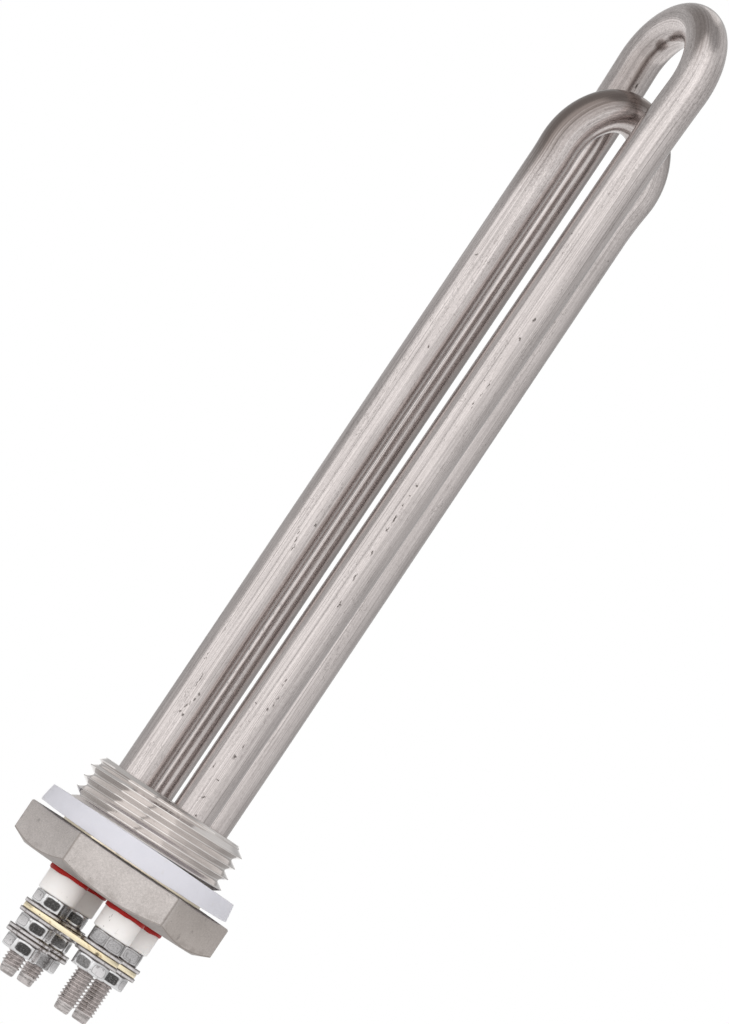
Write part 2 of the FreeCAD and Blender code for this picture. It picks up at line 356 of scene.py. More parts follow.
def gasket():
    """A soft cut ring, narrower at the top, that has gone slightly wavy and sits a little askew."""
    angles = even_angles(240)
    low = gasket_low + 0.085 * mm + 0.19 * mm * np.cos(2 * angles)
    low = low + uneven(angles, 12, (3, 7, 11), 0.05 * mm)
    high = gasket_high + 0.18 * mm - 0.17 * mm * np.sin(angles) - 0.09 * mm * np.cos(2 * angles)
    high = high + uneven(angles, 13, (3, 5, 8), 0.05 * mm)
    foot = gasket_radius - 0.08 * mm + uneven(angles, 14, (2, 5, 9, 23), 0.07 * mm)
    head = foot - 0.5 * mm + uneven(angles, 16, (2, 3, 7), 0.05 * mm)
    inner = gasket_bore_radius + 0.03 * mm + uneven(angles, 15, (4, 9), 0.03 * mm)
    soft = 0.16 * mm
    ease = soft - math.sqrt(0.5) * soft
    rings = [
        (inner, low + soft), (inner + ease, low + ease), (inner + soft, low),
        (foot - soft, low), (foot - ease, low + ease), (foot, low + soft),
        ((foot + head) / 2 + 0.03 * mm, (low + high) / 2),
        (head, high - soft), (head - ease, high - ease), (head - soft, high),
        (inner + soft, high), (inner + ease, high - ease), (inner, high - soft),
    ]
    return finish_mesh(lathe("gasket_ring", angles, rings), 50)


# Heating elements

def leg_route(element, leg, side):
    """Places up one leg to the top of the bend: across, height and the angle that its outside faces.

    side is 1 or -1, the side of the bend's centre that the leg is on.
    """
    top, bulge, shift, flare_radius, roundness = bends[element]
    foot = leg_radius - side * shift
    lean = math.radians(leg_leans[leg])
    lean_bend = math.copysign(lean_bend_radius, lean)
    lean_centre = foot + lean_bend
    half_width = leg_radius + bulge
    crown_radius = half_width * roundness
    crown_height = top - tube_radius - crown_radius
    side_radius = (half_width - crown_radius * math.cos(crown_start)) / (1 - math.cos(crown_start))
    side_centre = half_width - side_radius
    side_height = crown_height - (side_radius - crown_radius) * math.sin(crown_start)
    centre_distance = flare_radius + side_radius
    across_left = side_centre - lean_centre + (lean_bend - flare_radius) * math.cos(lean)
    height_left = side_height - lean_start - (lean_bend - flare_radius) * math.sin(lean)
    reach = height_left * math.sin(lean) - across_left * math.cos(lean)
    flare_angle = lean + math.acos(reach / centre_distance)
    flare_centre = side_centre + centre_distance * math.cos(flare_angle)
    flare_height = side_height - centre_distance * math.sin(flare_angle)
    arcs = (
        (lean_centre, lean_start, -lean_bend, 0, -lean, 4),
        (flare_centre, flare_height, -flare_radius, -lean, -flare_angle, 14),
        (side_centre, side_height, side_radius, -flare_angle, crown_start, 14),
        (0, crown_height, crown_radius, crown_start, math.pi / 2, 14),
    )
    route = [(foot, terminal_face, 0)]
    for centre, height, radius, first, last, steps in arcs:
        for angle in np.linspace(first, last, steps):
            place = (centre + radius * math.cos(angle), height + radius * math.sin(angle), angle)
            if math.dist(place[:2], route[-1][:2]) > 0.01 * mm:
                route.append(place)
    if side > 0:
        return [(shift + across, height, angle) for across, height, angle in route]
    return [(shift - across, height, math.pi - angle) for across, height, angle in route]


def hairpin_points(element):
    """Places along a hairpin's centreline, as in leg_route."""
    first_leg, second_leg = element_legs[element]
    down = leg_route(element, second_leg, -1)
    return leg_route(element, first_leg, 1) + down[-2::-1]


def sheath(element):
    """A bent tube. Its straight attribute gives each point's place on the tube before bending."""
    direction = leg_place(element_legs[element][0]).normalized()
    side = up.cross(direction)
    around = even_angles(72)
    stations = []
    distance = 0
    for j, (across, height, angle) in enumerate(hairpin_points(element)):
        place = direction * across + up * height
        if j:
            distance += (place - last_place).length
        last_place = place
        outward = direction * math.cos(angle) + up * math.sin(angle)
        stations.append((place, outward, distance))
    points = []
    straight = []
    for radius, order in ((tube_radius, stations), (tube_bore_radius, stations[::-1])):
        for place, outward, distance in order:
            for turn in around:
                points.append(place + (outward * math.cos(turn) + side * math.sin(turn)) * radius)
                straight.append((radius * math.cos(turn), radius * math.sin(turn), distance))
    obj = loft(element + "_tube", points, len(around), closed=True)
    keep_places(obj, "straight", straight)
    return finish_mesh(obj, 50)


# Terminals

def stud(leg, seed):
    draw = np.random.default_rng(seed)
    angles = even_angles(48) + draw.uniform(0, 2 * math.pi)
    low = stud_tip + 0.15 * mm
    high = terminal_face - 1 * mm
    root_radius = stud_radius - stud_thread_depth
    run_out_slope = 0.7

    def limit(height):
        point = np.interp((height - stud_tip) / mm, stud_end_heights, stud_end_radii) * mm
        run_out = root_radius + (high - height) * run_out_slope
        return np.minimum(np.minimum(point, run_out), stud_radius)

    point = stud_point_radius
    before = [(point - 0.25 * mm, stud_tip), (point - 0.06 * mm, stud_tip + 0.05 * mm)]
    after = [
        (root_radius, high + 0.1 * mm), (stud_radius, high + 0.5 * mm), (stud_radius, stud_shoulder),
        (pin_radius, stud_shoulder), (pin_radius, pin_end - 0.3 * mm), (pin_radius - 0.3 * mm, pin_end),
    ]
    obj = threaded_bar("stud_" + leg, angles, low, high, stud_pitch, stud_radius, stud_thread_depth, limit,
                       before, after, draw.uniform(0, stud_pitch))
    return move_to_leg(finish_mesh(obj, 32), leg)


def seal(leg, seed):
    """A soft ring squeezed out unevenly between the plug and the bushing."""
    low, high = span("terminal_seal_" + leg, 2)
    angles = even_angles(96)
    bulge = seal_radius + 0.12 * mm + uneven(angles, seed, (2, 3, 5), 0.2 * mm)
    foot = low - 0.16 * mm + uneven(angles, seed + 1, (2, 3, 7), 0.3 * mm)
    rings = [
        (seal_bore_radius, low), (bushing_radius - 0.3 * mm, low),
        (bushing_radius + 0.05 * mm, low - 0.01 * mm), (bulge - 0.12 * mm, foot),
        (bulge - 0.02 * mm, foot + 0.12 * mm), (bulge, (foot + high) / 2),
        (bulge - 0.04 * mm, high - 0.14 * mm), (bulge - 0.2 * mm, high), (seal_bore_radius, high),
    ]
    return move_to_leg(finish_mesh(lathe("seal_" + leg, angles, rings), 60), leg)


def bushing(leg, seed):
    low = span("terminal_bushing_" + leg, 2)[0]
    face = span("terminal_seal_" + leg, 2)[0] - 0.02 * mm
    angles = even_angles(96)
    outer = bushing_radius + uneven(angles, seed, (2, 3), 0.03 * mm)
    edge = 0.4 * mm
    rings = [
        (bushing_bore_radius + 0.15 * mm, low), *rolled_edge(outer, low, edge, edge, 5),
        (outer, face - 0.2 * mm), (outer - 0.06 * mm, face - 0.06 * mm), (outer - 0.2 * mm, face),
        (spigot_radius, face), (spigot_radius, spigot_top - 0.2 * mm),
        (spigot_radius - 0.2 * mm, spigot_top), (bushing_bore_radius, spigot_top),
        (bushing_bore_radius, low + 0.15 * mm),
    ]
    return move_to_leg(finish_mesh(lathe("bushing_" + leg, angles, rings), 40), leg)


def nut(node, leg, degrees, *painted_flat_reflections):
    """A hexagon nut with both faces chamfered and its corners worn a little.

    Its facet attribute keeps each point's place across and up the flat that it is on, and how light that
    flat is painted, a painted reflection.
    """
    low, high = span(node, 2)
    turn = math.radians(degrees)
    angles = hexagon_angles(22, turn)
    flats = hexagon_radius(angles, nut_across_flats, turn, 0.26 * mm)
    start = nut_across_flats / 2 - 0.05 * mm
    soft = 0.05 * mm
    drop = (flats - start) * math.tan(nut_chamfer_angle)
    half = [
        (nut_bore_radius, 0.3 * mm), (nut_mouth_radius, 0), (start - 2 * soft, 0),
        (start - soft, 0.3 * soft), (start, soft), (flats - soft, drop),
        (flats - 0.2 * soft, drop + 1.2 * soft), (flats, drop + 2.4 * soft),
    ]
    obj = finish_mesh(lathe("nut_" + node, angles, mirrored(half, low, high)), 28)
    facets = []
    for point in obj.data.vertices:
        angle = (math.atan2(point.co.y, point.co.x) - turn) % (2 * math.pi)
        local = angle % (math.pi / 3) - math.pi / 6
        # How light this flat is painted: a painted reflection
        tone = painted_flat_reflections[int(angle / (math.pi / 3)) % 6]
        facets.append((nut_across_flats / 2 * math.tan(local), point.co.z - (low + high) / 2, tone * mm))
    keep_places(obj, "facet", facets)
    return move_to_leg(obj, leg)


def washer(node, leg, seed):
    """A stamped washer: one edge rolled over, the other with a slight burr."""
    low, high = span(node, 2)
    angles = even_angles(96)
    outer = washer_radius - 0.03 * mm + uneven(angles, seed, (2, 3, 9), 0.03 * mm)
    roll = 0.28 * mm
    rings = [
        (washer_bore_radius, low + 0.1 * mm), (washer_bore_radius + 0.1 * mm, low),
        *rolled_edge(outer, low, roll, 0.8 * roll, 4),
        (outer, high - 0.06 * mm), (outer - 0.05 * mm, high),
        (washer_bore_radius + 0.1 * mm, high), (washer_bore_radius, high - 0.1 * mm),
    ]
    return move_to_leg(finish_mesh(lathe("ring_" + node, angles, rings)), leg, (low + high) / 2)


def strip(name, pair):
    """A flat brass strip with round ends and a hole for each of its two studs."""
    low, high = span("jumper_strip_" + name, 2)
    first, second = (leg_place(leg) for leg in pair)
    along = (second - first).normalized()
    across = along.cross(up)
    end_steps = 28
    outline = []
    for centre, start in ((second, -math.pi / 2), (first, math.pi / 2)):
        for k in range(end_steps + 1):
            angle = start + math.pi * k / end_steps
            outline.append((centre, along * math.cos(angle) - across * math.sin(angle)))
    soft = 0.12 * mm
    points = []
    for inset, height in mirrored([(-soft, 0), (-0.3 * soft, 0.3 * soft), (0, soft)], low, high):
        for centre, outward in outline:
            points.append(centre + outward * (strip_half_width + inset) + up * height)
    obj = finish_mesh(loft("strip_" + name, points, len(outline)), 30)
    bore_out(obj, strip_hole_radius, low - mm, high + mm, (first, second), 48)
    return finish_mesh(obj, 30)


# Materials

# Which of a mix node's sockets take the factor and the two colours, and which gives the mixed colour
mix_color_inputs = (0, 6, 7)
mix_color_output = 2


class Value:
    """An output of a shader tree. Sums and products of it add the nodes that work them out."""

    def __init__(self, nodes, socket):
        self.nodes = nodes
        self.socket = socket

    def __add__(self, other):
        return self.nodes.math("ADD", self, other)

    def __sub__(self, other):
        return self.nodes.math("SUBTRACT", self, other)

    def __rsub__(self, other):
        return self.nodes.math("SUBTRACT", other, self)

    def __mul__(self, other):
        return self.nodes.math("MULTIPLY", self, other)

    def __abs__(self):
        return self.nodes.math("ABSOLUTE", self)

    def spread(self, low, high, to_low, to_high):
        """Ease it from one range to another and hold it at the ends."""
        node = self.nodes.add("MapRange")
        node.interpolation_type = "SMOOTHSTEP"
        for k, value in enumerate((self, low, high, to_low, to_high)):
            self.nodes.give(value, node, k)
        return self.nodes.out(node)

    def rise(self, low, high, level=1):
        return self.spread(low, high, 0, level)

    def fade(self, low, high, level=1):
        return self.spread(low, high, level, 0)


class Nodes:
    """Short calls that add nodes to a shader tree."""

    def __init__(self, tree):
        self.tree = tree

    def add(self, kind):
        return self.tree.nodes.new("ShaderNode" + kind)

    def out(self, node, name=0):
        return Value(self, node.outputs[name])

    def give(self, value, node, name):
        """Link or set one of a node's inputs."""
        socket = node.inputs[name]
        if isinstance(value, Value):
            self.tree.links.new(value.socket, socket)
        elif isinstance(value, tuple) and socket.type == "RGBA":
            socket.default_value = (*value, 1)
        else:
            socket.default_value = value

    def math(self, operation, *values):
        node = self.add("Math")
        node.operation = operation
        for k, value in enumerate(values):
            self.give(value, node, k)
        return self.out(node)

    def most(self, result, *others):
        for value in others:
            result = self.math("MAXIMUM", result, value)
        return result

    def vector(self, operation, first, second=None):
        node = self.add("VectorMath")
        node.operation = operation
        self.give(first, node, 0)
        if second is not None:
            self.give(second, node, "Scale" if operation == "SCALE" else 1)
        return self.out(node, "Value" if operation == "LENGTH" else "Vector")

    def length(self, vector, weights):
        return self.vector("LENGTH", self.vector("MULTIPLY", vector, weights))

    def part(self, vector, axis):
        node = self.add("SeparateXYZ")
        self.give(vector, node, 0)
        return self.out(node, axis)

    def rays(self, *kinds):
        """1 for rays of these kinds, 0 for others."""
        path = self.add("LightPath")
        return self.most(*(self.out(path, "Is " + kind + " Ray") for kind in kinds))

    def blend(self, factor, first, second, output):
        """Mix two shader nodes into an output node."""
        node = self.add("MixShader")
        for k, value in enumerate((factor, self.out(first), self.out(second))):
            self.give(value, node, k)
        self.give(self.out(node), self.tree.nodes[output], "Surface")


class Finish(Nodes):
    """A material, with sizes in millimetres. Textures lie in the object's space or in an attribute's."""

    def __init__(self, name, attribute=None):
        self.material = bpy.data.materials.new(name)
        self.material.use_nodes = True
        super().__init__(self.material.node_tree)
        self.shader = self.tree.nodes["Principled BSDF"]
        if attribute:
            self.place = self.stored(attribute)
        else:
            coordinates = self.add("TexCoord")
            self.place = self.vector("SCALE", self.out(coordinates, "Object"), 1 / mm)

    def stored(self, attribute):
        """A place kept on the mesh, in millimetres."""
        node = self.add("Attribute")
        node.attribute_name = attribute
        return self.vector("SCALE", self.out(node, "Vector"), 1 / mm)

    def off_axis(self):
        """Distance from the axis of the leg that the piece is on, in millimetres."""
        return self.length(self.stored("local"), (1, 1, 0))

    def reach(self, centre, halves, place=None):
        """Distance from a centre counted in half sizes. An infinite half size leaves its axis out."""
        arm = self.vector("SUBTRACT", place or self.place, centre)
        return self.length(arm, tuple(1 / half for half in halves))

    def texture(self, kind, size, shift):
        """Add a texture with one feature size, or one for each axis. Its shift sets it apart from others."""
        node = self.add("Tex" + kind)
        sizes = size if isinstance(size, tuple) else (size, size, size)
        scaled = self.vector("MULTIPLY", self.place, tuple(1 / s for s in sizes))
        self.give(self.vector("ADD", scaled, (shift, shift * 1.7, shift * 0.6)), node, "Vector")
        self.give(1, node, "Scale")
        return node

    def noise(self, size, shift, detail, roughness=0.5):
        node = self.texture("Noise", size, shift)
        self.give(detail, node, "Detail")
        self.give(roughness, node, "Roughness")
        return self.out(node, "Fac")

    def cells(self, size, shift, feature="F1"):
        node = self.texture("Voronoi", size, shift)
        node.feature = feature
        return node

    def dots(self, size, radius, share, shift):
        """A mask of round dots, given by cell size, radius and the share of the cells that hold one."""
        node = self.cells(size, shift)
        chosen = self.math("LESS_THAN", self.part(self.out(node, "Color"), 0), share)
        return self.out(node, "Distance").fade(radius / size * 0.5, radius / size) * chosen

    def total(self, *values):
        """Add weighted values, given as (value, weight), to a half."""
        result = 0.5
        for value, weight in values:
            result = (value - 0.5) * weight + result
        return result

    def mix(self, factor, first, second):
        node = self.add("Mix")
        node.data_type = "RGBA"
        for k, value in zip(mix_color_inputs, (factor, first, second)):
            self.give(value, node, k)
        return self.out(node, mix_color_output)

    def done(self, color, roughness, metallic, relief, depth, **inputs):
        """Set the shader. The surface is raised by relief times depth, in millimetres."""
        bump = self.add("Bump")
        self.give(depth * mm, bump, "Distance")
        self.give(relief, bump, "Height")
        inputs.update(Base_Color=color, Roughness=roughness, Metallic=metallic, Normal=self.out(bump))
        for name, value in inputs.items():
            self.give(value, self.shader, name.replace("_", " "))
        return self.material


# Marks, in millimetres. On the front of the legs: across from the leg's axis, height above the seat, half
# width and half length.
tube_marks = {
    "long_link": (
        (0.83, 124.7, 0.3, 0.8), (0.65, 120.4, 0.25, 0.5), (0.62, 110, 0.16, 1.3), (0.45, 107.8, 0.16, 1.5),
        (0.2, 105.4, 0.15, 1.4), (0.1, 87.3, 0.4, 0.3), (0.1, 85.1, 0.35, 0.25), (0.12, 82.6, 0.2, 0.9),
        (0.2, 79.9, 0.25, 1.1), (0.25, 77.6, 0.22, 0.8), (0.35, 72.4, 0.2, 0.9), (0.2, 67, 0.22, 1),
        (0.7, 61.2, 0.32, 1.3), (0.46, 27.1, 0.4, 0.6), (-0.1, 17.8, 0.35, 0.4), (0.7, 14.3, 0.35, 0.4),
        (1.9, 132, 0.2, 0.5), (0.3, 43.7, 0.2, 1.1), (1, 40.6, 0.2, 0.8), (1.05, 39.2, 0.2, 0.6),
        (0.55, 37.9, 0.28, 0.45), (-1.85, 37.6, 0.2, 0.4), (0.75, 29.5, 0.18, 1.1), (-1.7, 23.8, 0.22, 0.6),
        (0.25, 21.9, 0.35, 0.2),
    ),
    "long_feed": ((1.9, 171.5, 0.3, 1.2), (2.2, 166, 0.25, 1.8)),
    "short_link": (),
    "short_feed": (
        (-1.7, 128.9, 0.3, 0.5), (0.33, 109.9, 0.22, 0.4), (1.44, 70.9, 0.3, 0.45), (-0.55, 68.2, 0.16, 0.7),
        (-0.15, 66.8, 0.16, 0.8), (0.35, 65.2, 0.16, 0.9), (-1.8, 45.3, 0.2, 1.2), (-1.9, 40.3, 0.2, 0.4),
        (-1.85, 39.2, 0.25, 0.45), (-0.55, 35.3, 0.14, 2.4), (0.95, 33, 0.22, 0.6), (0.75, 31.9, 0.22, 0.6),
        (0.45, 30.9, 0.22, 0.6), (1.3, 31.6, 0.18, 0.6), (0.15, 30, 0.22, 0.6), (-0.25, 28.6, 0.38, 0.4),
        (0.5, 28.3, 0.28, 0.5),
    ),
}

# Painted shade on the bends, standing for the dark reflections there: outward and sideways from the centre
# line, distance past the top of the bend, half width, half length and strength
bend_painted_shades = {
    "long": (
        (2.2, -3.3, -5.8, 2, 8, 0.65), (-3.5, -1.9, 22, 3.6, 15, 0.55),
        (3.8, -1, 1, 3, 14, 0.4), (-3.8, -1.25, 17, 0.6, 9, 0.7),
        (-2.6, 2.9, 95, 1.9, 125, 0.6),
    ),
    "short": ((3.5, -1.2, 6, 3.9, 24, 0.95), (-3, 1, 0, 3, 20, 0.4)),
}

# Nicks in the front strip's edge: across from the plug's axis, height over its lower face and half width
strip_nicks = ((-9.7, 0.5, 0.35), (4.1, 0.25, 0.7), (8.5, 0.9, 0.55))

# Scratches on the front bushings: across from the plug's axis, height, half width and half length
bushing_marks = (
    (2.35, -9.6, 0.1, 0.5), (2.15, -10.1, 0.1, 0.35), (2.5, -10.6, 0.1, 0.3), (2.2, -12.1, 0.16, 0.2),
)


def hairpin_length(element):
    """Length of a hairpin's centreline in millimetres."""
    route = [Vector((across, 0, height)) for across, height, angle in hairpin_points(element)]
    return sum((after - before).length for before, after in zip(route, route[1:])) / mm


def tube_mark(element, leg, across, height):
    """Place on the straight tube, in millimetres, of a point on the front of one of its legs."""
    outward = leg_place(leg).normalized()
    side = up.cross(leg_place(element_legs[element][0]).normalized())
    radius = tube_radius / mm
    normal = Vector((across / radius, -math.sqrt(1 - (across / radius) ** 2), 0))
    distance = height - terminal_face / mm
    if leg != element_legs[element][0]:
        distance = hairpin_length(element) - distance
    return (radius * normal.dot(outward), radius * normal.dot(side), distance)


def tube_finish(element):
    """Drawn stainless tube with streaks, scuffs, pits and marks. Its bend is grainier and painted darker in
    patches, a painted shade.
    """
    f = Finish(element + "_tube_steel", "straight")
    streak = f.noise((0.4, 0.4, 45), 1, 3)
    line = f.noise((0.12, 0.12, 18), 2, 2)
    broad = f.noise((1.8, 1.8, 120), 3, 1)
    grain = f.noise((0.13, 0.13, 0.2), 4, 2, 0.6)
    speckle = f.noise((0.32, 0.32, 0.6), 11, 3, 0.6)
    cloud = f.noise((4, 4, 12), 5, 3)
    middle = hairpin_length(element) / 2
    bend = (cloud * 10 + abs(f.part(f.place, 2) - middle)).fade(24, 42)

    fine = f.total((grain, 0.8), (speckle, 1))
    fine = (fine - 0.5) * bend.spread(0, 1, 0.45, 1) + 0.5
    tone = f.total((streak, 0.7), (line, 1), (broad, 0.35), (fine, 1), (cloud, 0.35))
    color = f.mix(tone, (0.38, 0.345, 0.335), (0.85, 0.785, 0.765))
    # Painted shade: dark patches on the bends stand for the dark reflections seen there
    for outward, sideways, past, half_width, half_length, strength in bend_painted_shades[element]:
        reach = f.reach((outward, sideways, middle + past), (half_width, half_width, half_length))
        stain_and_painted_shade = ((0.5 - streak) * 0.9 + reach).fade(0.35, 1.15) * strength
        color = f.mix(stain_and_painted_shade, color, (0.2, 0.165, 0.15))

    fold = abs(f.noise((0.8, 0.8, 2.4), 9, 3, 0.55) - 0.5)
    worn = f.noise((2.2, 2.2, 13), 10, 3).rise(0.47, 0.62)
    crinkle = fold.fade(0, 0.02) * worn
    pit = f.most(f.dots(2.6, 0.15, 0.3, 7), f.dots(6, 0.26, 0.3, 8))
    wobble = f.vector("SUBTRACT", f.out(f.cells(0.5, 6), "Color"), (0.5, 0.5, 0.5))
    bent = f.vector("ADD", f.place, f.vector("SCALE", wobble, 0.3))
    nearest = 9
    for leg in element_legs[element]:
        for across, height, half_width, half_length in tube_marks[leg]:
            centre = tube_mark(element, leg, across, height)
            reach = f.reach(centre, (half_width, half_width, half_length), bent)
            nearest = f.math("MINIMUM", reach, nearest)
    mark = nearest.fade(0.4, 1) * grain.spread(0.3, 0.6, 0.5, 0.95)
    drawn = f.noise((0.12, 0.12, 70), 12, 1).rise(0.6, 0.68, 0.4)
    dark = f.most(mark, pit * 0.55, crinkle * 0.45, drawn)
    color = f.mix(dark, color, (0.08, 0.065, 0.058))

    rough = f.total((streak, 0.8), (grain, 0.6), (cloud, 0.8)).spread(0.1, 0.9, 0.11, 0.22)
    rough = dark * 0.3 + (bend * 0.05 + rough)
    relief = f.total((line, 0.5), (grain, 0.25), (streak, 1), (speckle, 0.25))
    return f.done(color, rough, 1, relief - dark * 1.2, 0.006)


def plug_finish():
    """Hexagon with a fine blasted face, shank turned bright, both of one steel. Painted shade darkens the
    right faces, the chamfer and the edge lines; painted light brightens the neck and the lowest turns of the
    thread.
    """
    f = Finish("plug_steel")
    height = f.part(f.place, 2)
    turned = height.rise(0, 0.3)
    hexagon = 1 - turned
    grain = f.noise(0.17, 1, 2, 0.7)
    speck = f.noise(0.34, 2, 3, 0.65)
    cloud = f.noise(6, 3, 3)
    ring = f.noise((60, 60, 0.09), 5, 2)
    blasted = f.total((grain, 1.1), (speck, 0.9), (cloud, 0.45))
    blasted = f.mix(blasted, (0.4, 0.365, 0.345), (0.8, 0.745, 0.72))
    # Painted shade: the faces on the right side are painted browner and darker
    right_faces_painted_shade = (f.part(f.place, 0) + cloud).rise(11.3, 12.3) * 0.3
    blasted = f.mix(right_faces_painted_shade, blasted, (0.36, 0.3, 0.25))
    bright = f.mix(f.total((ring, 0.7), (grain, 0.4), (cloud, 0.5)), (0.54, 0.51, 0.495), (0.87, 0.825, 0.8))
    color = f.mix(turned, blasted, bright)

    pit = f.dots(1.7, 0.16, 0.35, 6)
    spot = f.noise(2.4, 7, 3).rise(0.66, 0.76) * 0.35
    dark = f.most(pit * 0.5, spot)
    foot = 99
    for leg in legs:
        foot = f.math("MINIMUM", f.reach(tuple(leg_place(leg) / mm), (1, 1, math.inf)), foot)
    braze = foot.fade(4.3, 5.2) * height.rise(13, 13.6)
    braze = braze * f.noise(2.6, 8, 3).rise(0.35, 0.7)
    color = f.mix(dark, color, (0.12, 0.1, 0.085))
    color = f.mix(braze * 0.75, color, (0.16, 0.115, 0.08))

    radius = f.length(f.place, (1, 1, 0))
    azimuth = f.math("ARCTAN2", f.part(f.place, 1), f.part(f.place, 0))
    from_corner = f.math("PINGPONG", azimuth, math.pi / 6) * (hexagon_across_flats / mm / math.sqrt(3))
    corner = from_corner.fade(0.06, 0.34) * radius.rise(20.5, 21.2)
    chamfer = (radius - hexagon_chamfer_start / mm) * math.tan(hexagon_chamfer_angle) + terminal_face / mm
    over_chamfer = height - chamfer
    # Painted shade: dark lines just above the chamfer's edge and along the corners, with brownish smears low
    # on the faces
    line = f.most(abs(over_chamfer - 0.16).fade(0.04, 0.16, 0.55), corner * 0.5)
    smear = over_chamfer.fade(0.3, 2.2, 0.3) * f.noise((2.2, 2.2, 1.4), 9, 3).rise(0.45, 0.7)
    color = f.mix(f.most(line, smear) * hexagon, color, (0.2, 0.165, 0.14))
    # Painted shade: the chamfer is painted a darker grey
    color = f.mix(over_chamfer.fade(0.02, 0.06, 0.7) * hexagon, color, (0.36, 0.33, 0.315))

    # Painted light: the lowest turns of the thread are painted lighter, standing for the gasket's reflection
    # in them
    run_out_painted_light = height.fade(4.9, 5.6) * height.rise(2, 2.6)
    color = f.mix(run_out_painted_light * 0.6, color, (0.94, 0.91, 0.89))
    # Painted highlight: the neck between the hexagon and the thread is painted light cream
    neck_painted_highlight = radius.fade(15.6, 16) * height.rise(0.02, 0.2) * height.fade(3, 3.3, 0.7)
    color = f.mix(neck_painted_highlight, color, (0.86, 0.75, 0.52))
    end_face = height.rise(thread_end / mm - 0.06, thread_end / mm - 0.01)
    rough = grain.spread(0.2, 0.8, 0.42, 0.56) * turned.spread(0, 1, 1, 0.2)
    rough = end_face * 0.28 + (run_out_painted_light * 0.4 + rough)
    relief = f.total((grain, 1), (speck, 0.8)) * hexagon + ring * (turned * 0.15)
    return f.done(color, rough, 1, relief - dark, 0.03)


def gasket_finish():
    """Waxy bluish white with faint warm smudges."""
    f = Finish("gasket_ptfe")
    cloud = f.noise(5, 1, 3)
    fine = f.noise(0.35, 2, 2)
    cut = f.noise((30, 30, 0.25), 3, 2)
    color = f.mix(f.total((cloud, 1), (fine, 0.3)), (0.58, 0.575, 0.62), (0.655, 0.645, 0.69))
    smudge = f.noise(1.6, 4, 3).rise(0.62, 0.75) * 0.22
    color = f.mix(smudge, color, (0.52, 0.49, 0.46))
    rough = cloud.spread(0.3, 0.7, 0.36, 0.46)
    return f.done(color, rough, 0, f.total((cut, 0.6), (fine, 0.5)), 0.02, Subsurface_Weight=0.2,
                  Subsurface_Radius=(1.2 * mm, 1.1 * mm, 1.1 * mm), Subsurface_Scale=1)


def stud_finish():
    """Rolled thread, dull grey-beige, with painted shade in the grooves, and darker in rings on the plain
    end.
    """
    f = Finish("stud_steel")
    grain = f.noise(0.12, 1, 2, 0.6)
    cloud = f.noise((0.9, 0.9, 1.6), 2, 3)
    streak = f.noise((0.2, 0.2, 3), 3, 2)
    tone = f.total((grain, 0.7), (cloud, 0.9), (streak, 0.4))
    color = f.mix(tone, (0.42, 0.39, 0.38), (0.92, 0.86, 0.845))
    # Painted shade: darker down in the thread's grooves
    groove_shade_and_rings = f.off_axis().fade(1.6, 1.72, 0.3)
    ridge = f.noise((2, 2, 0.3), 5, 2).spread(0.46, 0.62, 0.16, 0.55)
    plain_end = (f.part(f.place, 2) - stud_tip / mm).fade(1.5, 1.9)
    groove_shade_and_rings = f.most(ridge * plain_end, groove_shade_and_rings * (1 - plain_end))
    dirt = f.noise(0.7, 4, 3).rise(0.56, 0.7) * 0.65
    color = f.mix(f.most(groove_shade_and_rings, dirt), color, (0.11, 0.1, 0.092))
    rough = grain.spread(0.2, 0.8, 0.26, 0.42)
    return f.done(color, rough, 1, f.total((grain, 1), (cloud, 0.6)), 0.015)


def nut_finish():
    """Bright nickel. The middle of each flat is a little rougher and painted lighter or darker, a painted
    reflection, inside the plating's bright edges, with painted dark outlines.
    """
    f = Finish("nut_plating")
    grain = f.noise(0.1, 1, 2, 0.6)
    scratch = f.noise((0.5, 0.5, 0.05), 2, 2)
    cloud = f.noise(1, 3, 3)
    speck = f.noise(0.22, 4, 3, 0.65)
    bright = f.total((grain, 0.4), (scratch, 0.4), (cloud, 0.7))
    bright = f.mix(bright, (0.58, 0.575, 0.58), (0.86, 0.855, 0.86))
    facet = f.stored("facet")
    # How light each flat is painted: a painted reflection
    tone = f.part(facet, 2)
    panel_half_width = 1.55
    panel_half_height = 0.9
    across = f.math("DIVIDE", abs(f.part(facet, 0)), panel_half_width)
    along = f.math("DIVIDE", abs(f.part(facet, 1)), panel_half_height)
    fourth_powers = f.math("POWER", across, 4) + f.math("POWER", along, 4)
    reach = (cloud - 0.5) * 0.3 + f.math("POWER", fourth_powers, 0.25)
    on_side = f.off_axis().rise(3.3, 3.42)
    panel = reach.fade(0.92, 1) * on_side
    # Painted reflection: the middle of each flat takes its painted tone; flats of middle tone are painted
    # plain, without a bright edge
    mottle = tone.spread(0.5, 0.8, 0.8, 0.25)
    painted_flat_colour = f.mix((speck - 0.5) * mottle + tone, (0.055, 0.053, 0.052), (0.8, 0.78, 0.785))
    plain = abs(tone - 0.45).fade(0.12, 0.24) * f.off_axis().rise(3.42, 3.5)
    color = f.mix(f.most(panel, plain), bright, painted_flat_colour)
    # Painted shade: dark outlines round the painted panels and seams between the plain flats, mixed with
    # dirt
    painted_seam_shade = across.rise(1.18, 1.27) * plain
    outline = f.most(abs(reach - 1).fade(0.02, 0.08, 0.5), painted_seam_shade * 0.7)
    dirt = f.noise(0.6, 5, 3).rise(0.58, 0.7) * 0.5
    color = f.mix(f.most(outline * on_side, dirt), color, (0.09, 0.08, 0.075))
    rough = panel * 0.12 + f.total((cloud, 0.8), (grain, 0.5)).spread(0.2, 0.8, 0.08, 0.2)
    return f.done(color, rough, 1, f.total((scratch, 0.4), (cloud, 0.6), (speck, 0.5)), 0.015)


